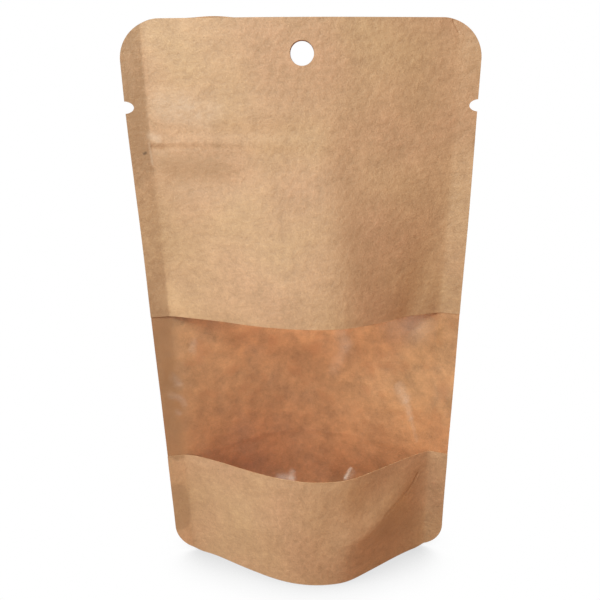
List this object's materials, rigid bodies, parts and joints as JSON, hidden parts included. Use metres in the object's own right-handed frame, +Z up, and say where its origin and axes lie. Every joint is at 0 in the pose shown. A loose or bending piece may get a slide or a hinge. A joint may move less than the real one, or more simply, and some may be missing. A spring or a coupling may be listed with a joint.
{
  "type": "kraft stand-up pouch with window",
  "caption": "Empty kraft paper stand-up pouch with a clear window band, press-to-close zip, tear notches, hang hole and an opened bottom gusset.",
  "frame": {"origin": "on the surface the pouch stands on, under the middle of its base", "axes": "+Z up along the pouch's height, +X across its width to the right seen from the front, the window faces -Y"},
  "size_m": [0.119, 0.0478, 0.2],
  "materials": {
    "kraft": "uncoated brown kraft paper, matt with a slight sheen",
    "film": "clear glossy film",
    "zip_plastic": "milky polyethylene"
  },
  "bodies": {
    "root": {"front_upper": "kraft", "window_film": "film", "front_lower": "kraft", "back_panel": "kraft", "bottom_gusset": "kraft", "zip_front": "zip_plastic", "zip_back": "zip_plastic"}
  },
  "joints": []
}
